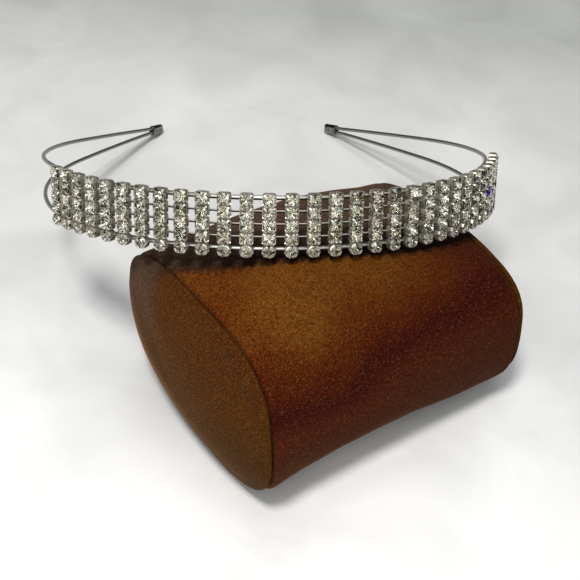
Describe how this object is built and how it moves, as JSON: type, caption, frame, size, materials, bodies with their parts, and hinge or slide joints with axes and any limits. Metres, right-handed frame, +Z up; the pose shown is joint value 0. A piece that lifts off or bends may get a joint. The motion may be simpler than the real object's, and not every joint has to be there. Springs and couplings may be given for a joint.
{
  "type": "rhinestone headband on a display cushion",
  "caption": "Sprung two-wire headband with rows of claw-set clear stones along the front, lying over a rounded brown velvet display cushion.",
  "frame": {"origin": "middle of the cushion's flat base, on the surface that it stands on", "axes": "+X to the right as seen from the front of the headband, +Y to the back where the headband's tips lie, +Z up"},
  "size_m": [0.1505, 0.1808, 0.0775],
  "materials": {
    "wire": "polished silver plate",
    "tip": "polished silver plate",
    "links": "silver plate",
    "cups": "silver plate",
    "stones": "clear cut glass with a foiled back",
    "velvet": "short-pile brown velvet",
    "velvet_end": "short-pile brown velvet"
  },
  "bodies": {
    "root": {"upper_wire": "wire", "lower_wire": "wire", "left_tip": "tip", "right_tip": "tip", "row_links": "links", "cup_columns": "cups", "rhinestones": "stones", "cushion_roll": "velvet", "cushion_left_end": "velvet_end", "cushion_right_end": "velvet_end"}
  },
  "joints": []
}
